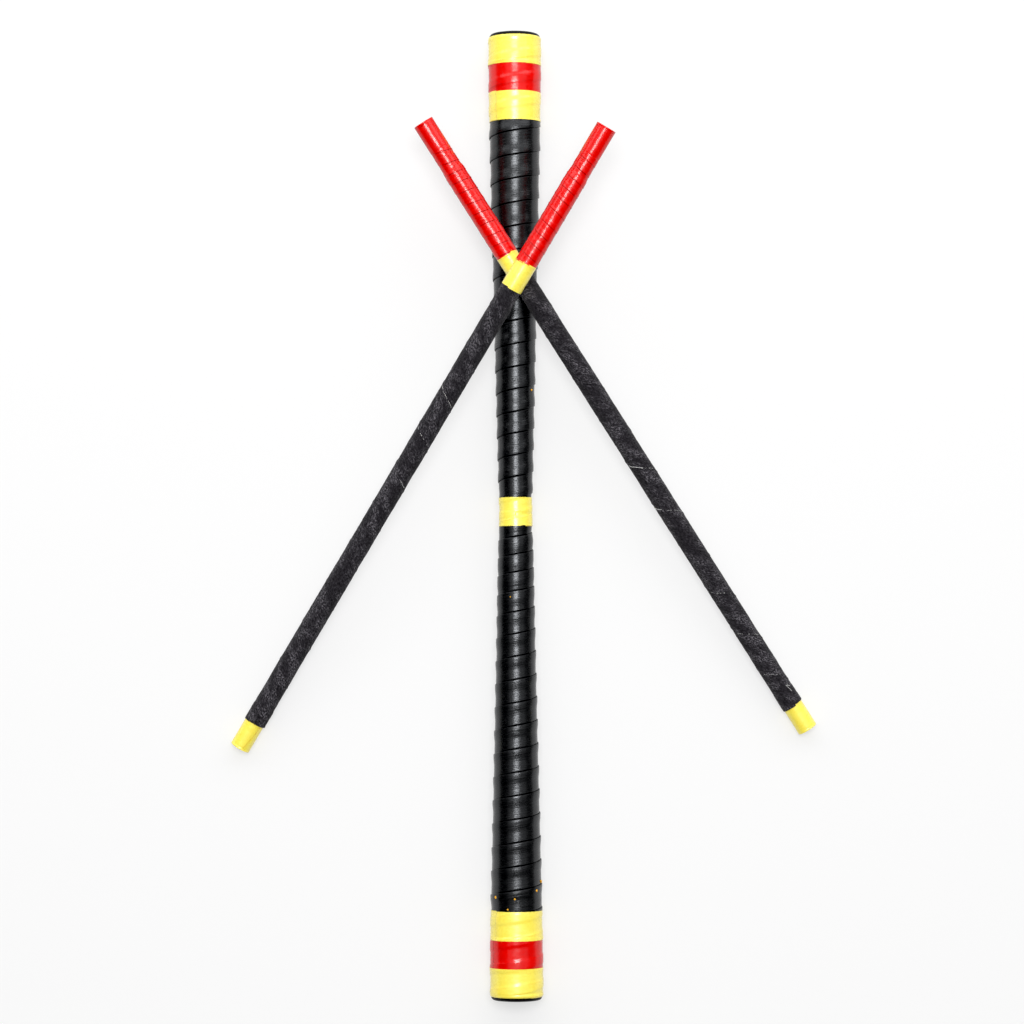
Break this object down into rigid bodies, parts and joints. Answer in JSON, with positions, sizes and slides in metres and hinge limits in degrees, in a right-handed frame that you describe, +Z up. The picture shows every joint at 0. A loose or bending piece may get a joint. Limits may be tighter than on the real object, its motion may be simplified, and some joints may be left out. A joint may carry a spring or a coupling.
{
  "type": "juggling stick set",
  "caption": "Waisted, rubber-wrapped centre stick for stick juggling, with a crossed pair of slim taped hand sticks resting on it, each free to lift off.",
  "frame": {"origin": "middle of the underside of the whole set's bounding box, on the ground the set lies on", "axes": "+Y along the centre stick towards the crossed handles, +Z up, +X to the right seen from above with +Y ahead"},
  "size_m": [0.3754, 0.6186, 0.0746],
  "materials": {
    "wood": "bare turned hardwood, sealed in by the wraps",
    "wrap_rubber": "semi-gloss stretched rubber tape",
    "cap_rubber": "matt moulded rubber",
    "yellow_tape": "glossy stretched vinyl tape",
    "red_tape": "glossy stretched vinyl tape",
    "grip_cloth": "matt napped cloth grip strip"
  },
  "bodies": {
    "centre_stick": {"centre_core": "wood", "centre_wrap_back": "wrap_rubber", "centre_wrap_front": "wrap_rubber", "waist_band": "yellow_tape", "end_cap_back": "cap_rubber", "end_cap_front": "cap_rubber", "band_back_outer": "yellow_tape", "band_back_red": "red_tape", "band_back_inner": "yellow_tape", "band_front_outer": "yellow_tape", "band_front_red": "red_tape", "band_front_inner": "yellow_tape"},
    "hand_stick_lower": {"lower_dowel": "wood", "lower_handle_end_tape": "red_tape", "lower_handle_tape": "red_tape", "lower_grip_wrap": "grip_cloth", "lower_transition_band": "yellow_tape", "lower_tip_tape": "yellow_tape"},
    "hand_stick_upper": {"upper_dowel": "wood", "upper_handle_end_tape": "red_tape", "upper_handle_tape": "red_tape", "upper_grip_wrap": "grip_cloth", "upper_transition_band": "yellow_tape", "upper_tip_tape": "yellow_tape"}
  },
  "joints": [
    {"name": "lower_stick_lift", "type": "slide", "parent": "centre_stick", "child": "hand_stick_lower", "axis": [0, 0, 1], "range_m": [0, 0.15]},
    {"name": "upper_stick_lift", "type": "slide", "parent": "hand_stick_lower", "child": "hand_stick_upper", "axis": [0, 0, 1], "range_m": [0, 0.15]}
  ]
}
